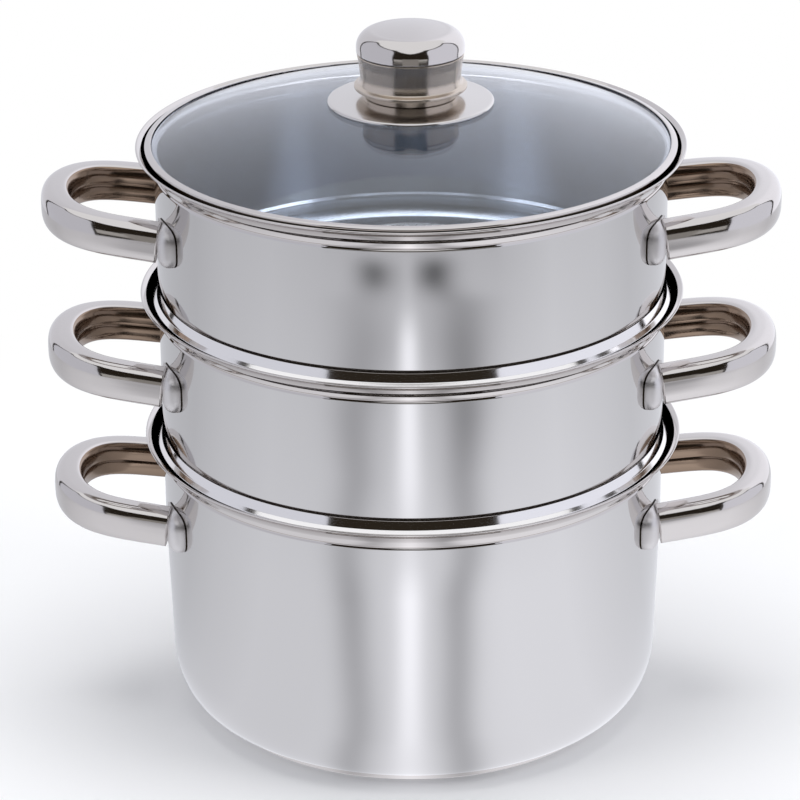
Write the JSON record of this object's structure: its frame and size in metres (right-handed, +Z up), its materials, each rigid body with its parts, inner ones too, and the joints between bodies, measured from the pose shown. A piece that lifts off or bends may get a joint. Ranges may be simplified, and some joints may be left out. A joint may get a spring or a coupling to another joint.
{
  "type": "steamer pot",
  "caption": "Stacked steel steamer pot: a stock pot, nesting perforated steamer tiers with loop handles, and a domed glass lid with a steel knob.",
  "frame": {"origin": "centre of the underside of the pot's base, which is the bottom centre of the bounding box", "axes": "+Z up through the middle of the stack and the knob; +X towards the right-hand handles; -Y towards the viewer of the picture"},
  "size_m": [0.328, 0.2414, 0.3181],
  "materials": {
    "satin_steel": "satin polished stainless steel",
    "polished_steel": "mirror polished stainless steel",
    "lid_glass": "clear tempered glass",
    "base_aluminium": "rolled",
    "seal_silicone": "matte translucent white"
  },
  "bodies": {
    "pot": {"pot_body": "satin_steel", "pot_base_cap": "satin_steel", "pot_base_core": "base_aluminium", "pot_handle_right": "polished_steel", "pot_handle_left": "polished_steel", "pot_foot_right_front": "polished_steel", "pot_foot_right_back": "polished_steel", "pot_foot_left_front": "polished_steel", "pot_foot_left_back": "polished_steel"},
    "lower_steamer": {"lower_steamer_body": "satin_steel", "lower_steamer_handle_right": "polished_steel", "lower_steamer_handle_left": "polished_steel", "lower_steamer_foot_right_front": "polished_steel", "lower_steamer_foot_right_back": "polished_steel", "lower_steamer_foot_left_front": "polished_steel", "lower_steamer_foot_left_back": "polished_steel"},
    "upper_steamer": {"upper_steamer_body": "satin_steel", "upper_steamer_handle_right": "polished_steel", "upper_steamer_handle_left": "polished_steel", "upper_steamer_foot_right_front": "polished_steel", "upper_steamer_foot_right_back": "polished_steel", "upper_steamer_foot_left_front": "polished_steel", "upper_steamer_foot_left_back": "polished_steel"},
    "lid": {"lid_band": "polished_steel", "lid_glass": "lid_glass", "knob_plate": "polished_steel", "knob_body": "polished_steel", "knob_cap": "polished_steel", "lid_washer": "seal_silicone", "lid_under_plate": "satin_steel", "lid_screw": "satin_steel"}
  },
  "joints": [
    {"name": "lower_steamer_lift", "type": "slide", "parent": "pot", "child": "lower_steamer", "axis": [0, 0, 1], "range_m": [0, 0.06]},
    {"name": "upper_steamer_lift", "type": "slide", "parent": "lower_steamer", "child": "upper_steamer", "axis": [0, 0, 1], "range_m": [0, 0.06]},
    {"name": "lid_lift", "type": "slide", "parent": "upper_steamer", "child": "lid", "axis": [0, 0, 1], "range_m": [0, 0.06]}
  ]
}
